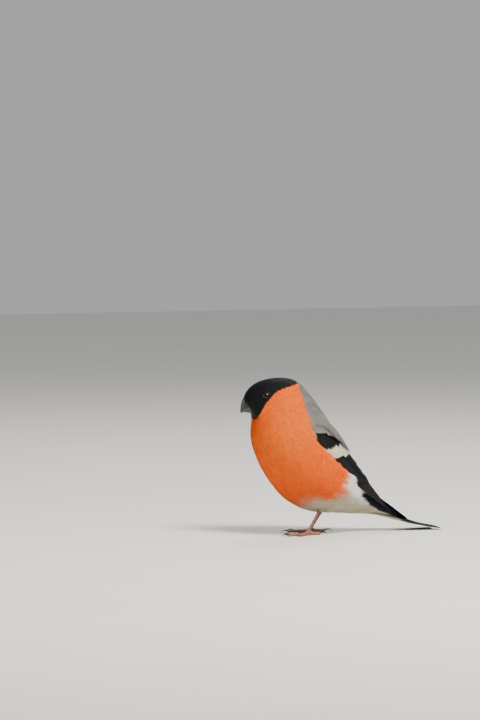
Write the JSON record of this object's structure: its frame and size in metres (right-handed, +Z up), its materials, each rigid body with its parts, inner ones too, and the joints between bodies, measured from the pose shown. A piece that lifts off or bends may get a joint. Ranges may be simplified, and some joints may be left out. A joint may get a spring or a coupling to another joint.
{
  "type": "bullfinch model",
  "caption": "Life-size still model of a male Eurasian bullfinch, standing with its head turned slightly and its tail tip on the floor.",
  "frame": {"origin": "on the floor, under the middle of the bird's length and width", "axes": "+Z up, -X the way the breast faces, -Y the bird's left side, X along the body from bill to tail tip"},
  "size_m": [0.129, 0.047, 0.0941],
  "materials": {
    "cap_plumage": "glossy blue-black feathers",
    "breast_plumage": "soft orange-red feathers",
    "mantle_plumage": "soft ash-grey feathers",
    "vent_plumage": "loose off-white feathers",
    "wing_feathers": "sleek black flight feathers, silky",
    "tail_feathers": "sleek blue-black feathers, silky",
    "bill_horn": "satin black horn",
    "eye": "wet gloss, dark brown",
    "leg_scales": "matt scaly skin, pinkish brown"
  },
  "bodies": {
    "root": {"head": "cap_plumage", "neck": "breast_plumage", "torso": "breast_plumage", "tail": "tail_feathers", "wing_left": "wing_feathers", "wing_right": "wing_feathers", "bill_upper": "bill_horn", "bill_lower": "bill_horn", "eye_left": "eye", "eye_right": "eye", "thigh_left": "vent_plumage", "thigh_right": "vent_plumage", "leg_left": "leg_scales", "leg_right": "leg_scales", "foot_left": "leg_scales", "foot_right": "leg_scales"}
  },
  "joints": []
}
